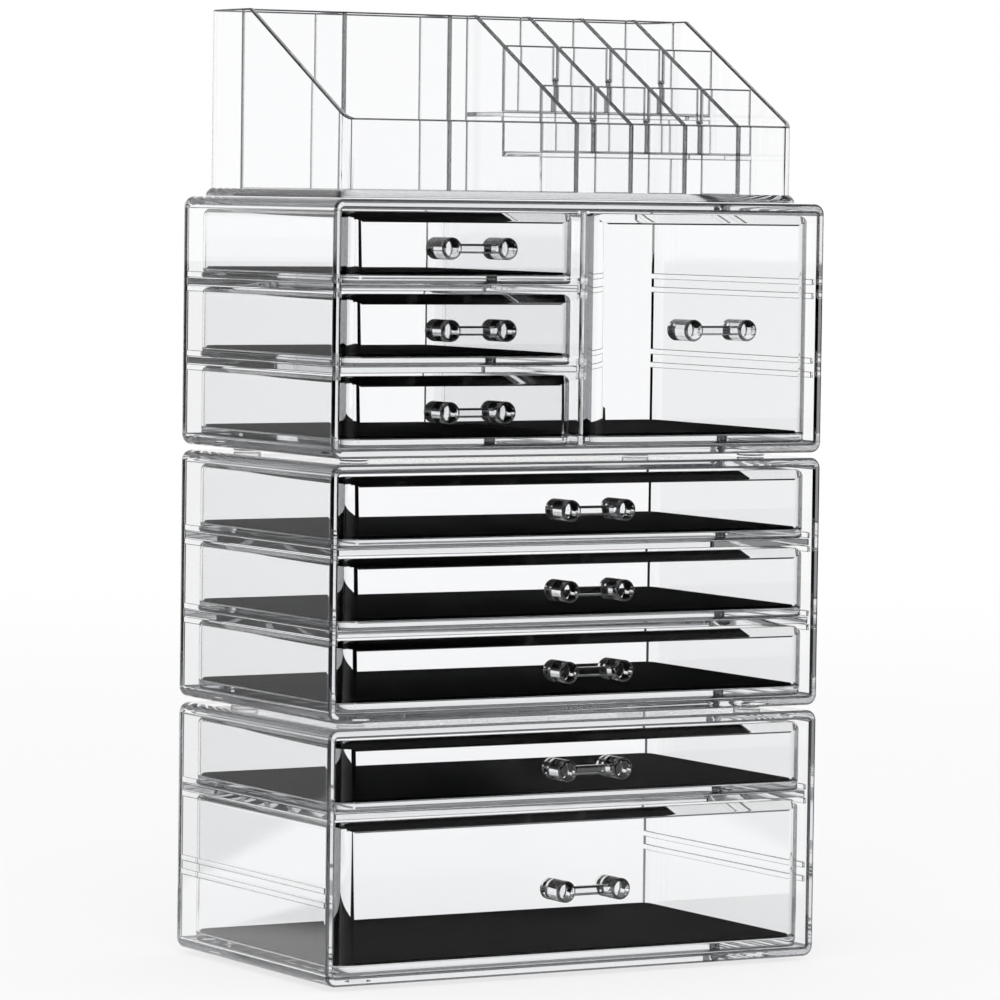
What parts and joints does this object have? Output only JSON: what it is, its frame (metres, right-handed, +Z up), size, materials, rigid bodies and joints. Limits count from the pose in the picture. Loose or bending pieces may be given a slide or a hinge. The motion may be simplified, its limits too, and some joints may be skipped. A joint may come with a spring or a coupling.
{
  "type": "stacking makeup organizer with drawers",
  "caption": "Clear plastic make-up organizer: stacked cases of pull-out drawers with black liner mats, and a top tray with a stepped lipstick rack.",
  "frame": {"origin": "middle of the whole object's footprint, handles included, on the plane the feet stand on", "axes": "+Z up, drawers open towards -Y, +X to the right seen from the front"},
  "size_m": [0.24, 0.1544, 0.4085],
  "materials": {
    "case_plastic": "clear polished moulded plastic, edges darker than faces",
    "drawer_plastic": "clear polished moulded plastic with rounded rims",
    "handle_plastic": "clear polished solid moulded plastic",
    "tray_plastic": "clear polished moulded plastic",
    "liner_mat": "matt black closed-cell foam sheet with a fine skin"
  },
  "bodies": {
    "bottom_unit": {"bottom_case": "case_plastic", "bottom_shelf": "case_plastic"},
    "middle_unit": {"middle_case": "case_plastic", "middle_shelf_1": "case_plastic", "middle_shelf_2": "case_plastic"},
    "upper_unit": {"upper_case": "case_plastic", "upper_partition": "case_plastic", "upper_shelf_1": "case_plastic", "upper_shelf_2": "case_plastic"},
    "top_tray": {"lipstick_rack_cross_wall_1": "tray_plastic", "lipstick_rack_cross_wall_2": "tray_plastic", "lipstick_rack_divider_1": "tray_plastic", "lipstick_rack_divider_2": "tray_plastic", "lipstick_rack_divider_3": "tray_plastic", "lipstick_rack_end": "tray_plastic", "lipstick_rack_stair": "tray_plastic", "tray_back_divider_1": "tray_plastic", "tray_back_divider_2": "tray_plastic", "tray_back_row_wall": "tray_plastic", "tray_shell": "tray_plastic"},
    "bottom_deep_drawer": {"bottom_deep_drawer": "drawer_plastic", "bottom_deep_drawer_liner": "liner_mat", "bottom_deep_drawer_handle": "handle_plastic"},
    "bottom_shallow_drawer": {"bottom_shallow_drawer": "drawer_plastic", "bottom_shallow_drawer_liner": "liner_mat", "bottom_shallow_drawer_handle": "handle_plastic"},
    "middle_centre_drawer": {"middle_centre_drawer": "drawer_plastic", "middle_centre_drawer_liner": "liner_mat", "middle_centre_drawer_handle": "handle_plastic"},
    "middle_lower_drawer": {"middle_lower_drawer": "drawer_plastic", "middle_lower_drawer_liner": "liner_mat", "middle_lower_drawer_handle": "handle_plastic"},
    "middle_top_drawer": {"middle_top_drawer": "drawer_plastic", "middle_top_drawer_liner": "liner_mat", "middle_top_drawer_handle": "handle_plastic"},
    "upper_left_centre_drawer": {"upper_left_centre_drawer": "drawer_plastic", "upper_left_centre_drawer_liner": "liner_mat", "upper_left_centre_drawer_handle": "handle_plastic"},
    "upper_left_lower_drawer": {"upper_left_lower_drawer": "drawer_plastic", "upper_left_lower_drawer_liner": "liner_mat", "upper_left_lower_drawer_handle": "handle_plastic"},
    "upper_left_top_drawer": {"upper_left_top_drawer": "drawer_plastic", "upper_left_top_drawer_liner": "liner_mat", "upper_left_top_drawer_handle": "handle_plastic"},
    "upper_right_drawer": {"upper_right_drawer": "drawer_plastic", "upper_right_drawer_liner": "liner_mat", "upper_right_drawer_handle": "handle_plastic"}
  },
  "joints": [
    {"name": "middle_unit_lift", "type": "slide", "parent": "bottom_unit", "child": "middle_unit", "axis": [0, 0, 1], "range_m": [0, 0.06]},
    {"name": "upper_unit_lift", "type": "slide", "parent": "middle_unit", "child": "upper_unit", "axis": [0, 0, 1], "range_m": [0, 0.06]},
    {"name": "top_tray_lift", "type": "slide", "parent": "upper_unit", "child": "top_tray", "axis": [0, 0, 1], "range_m": [0, 0.06]},
    {"name": "bottom_deep_drawer_slide", "type": "slide", "parent": "bottom_unit", "child": "bottom_deep_drawer", "axis": [0, -1, 0], "range_m": [0, 0.11]},
    {"name": "bottom_shallow_drawer_slide", "type": "slide", "parent": "bottom_unit", "child": "bottom_shallow_drawer", "axis": [0, -1, 0], "range_m": [0, 0.11]},
    {"name": "middle_centre_drawer_slide", "type": "slide", "parent": "middle_unit", "child": "middle_centre_drawer", "axis": [0, -1, 0], "range_m": [0, 0.11]},
    {"name": "middle_lower_drawer_slide", "type": "slide", "parent": "middle_unit", "child": "middle_lower_drawer", "axis": [0, -1, 0], "range_m": [0, 0.11]},
    {"name": "middle_top_drawer_slide", "type": "slide", "parent": "middle_unit", "child": "middle_top_drawer", "axis": [0, -1, 0], "range_m": [0, 0.11]},
    {"name": "upper_left_centre_drawer_slide", "type": "slide", "parent": "upper_unit", "child": "upper_left_centre_drawer", "axis": [0, -1, 0], "range_m": [0, 0.11]},
    {"name": "upper_left_lower_drawer_slide", "type": "slide", "parent": "upper_unit", "child": "upper_left_lower_drawer", "axis": [0, -1, 0], "range_m": [0, 0.11]},
    {"name": "upper_left_top_drawer_slide", "type": "slide", "parent": "upper_unit", "child": "upper_left_top_drawer", "axis": [0, -1, 0], "range_m": [0, 0.11]},
    {"name": "upper_right_drawer_slide", "type": "slide", "parent": "upper_unit", "child": "upper_right_drawer", "axis": [0, -1, 0], "range_m": [0, 0.11]}
  ]
}
